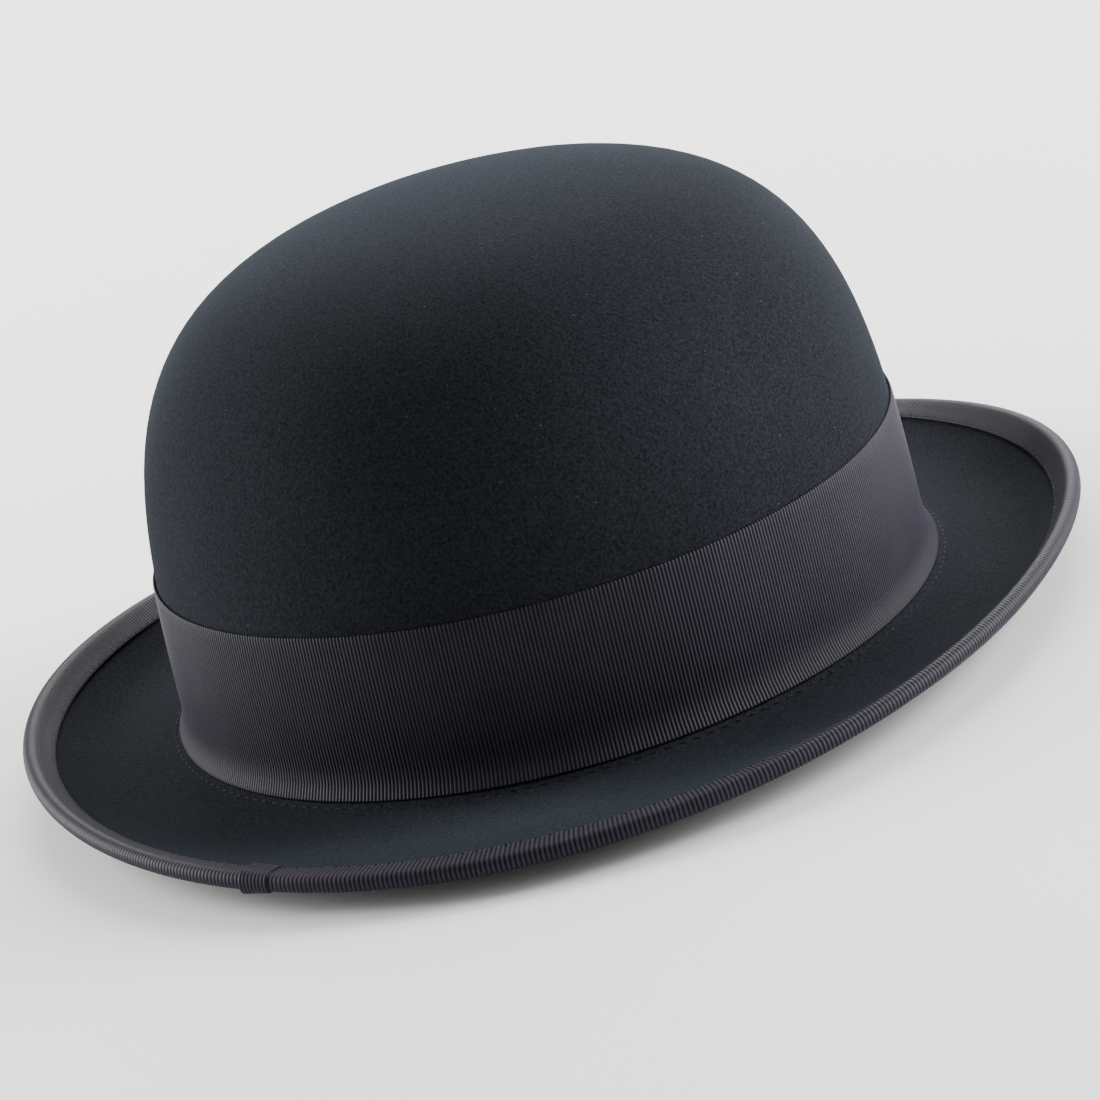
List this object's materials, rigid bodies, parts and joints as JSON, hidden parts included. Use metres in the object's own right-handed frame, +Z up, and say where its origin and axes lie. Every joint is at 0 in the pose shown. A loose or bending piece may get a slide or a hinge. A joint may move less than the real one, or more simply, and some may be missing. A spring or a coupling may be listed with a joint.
{
  "type": "bowler hat",
  "caption": "Hard felt hat with a round crown, a brim curled up at the sides, a ribbon band with a flat side bow and a bound brim edge, lined and fitted with a leather sweatband.",
  "frame": {"origin": "below the middle of the brim's oval, on the surface that the brim rests on", "axes": "+Z up through the crown, +Y to the wearer's front along the long axis of the brim, +X to the wearer's right; the bow is on -X"},
  "size_m": [0.2602, 0.3202, 0.115],
  "materials": {
    "felt": "short-napped hard fur felt",
    "grosgrain": "ribbed ribbon, low sheen",
    "thread": "twisted sewing thread",
    "sweatband_leather": "smooth roan leather, satin",
    "satin_lining": "woven satin",
    "reed": "matte",
    "tape": "woven tape"
  },
  "bodies": {
    "root": {"felt_shell": "felt", "hat_band": "grosgrain", "bow_loops": "grosgrain", "bow_knot": "grosgrain", "bow_tacks": "thread", "brim_binding": "grosgrain", "binding_lap": "grosgrain", "binding_stitches": "thread", "sweatband": "sweatband_leather", "sweatband_reed": "reed", "reed_tape": "tape", "sweatband_bow": "grosgrain", "sweatband_stitches": "thread", "seam_stitches": "thread", "lining_wall": "satin_lining", "lining_tip": "satin_lining", "lining_piping": "satin_lining"}
  },
  "joints": []
}
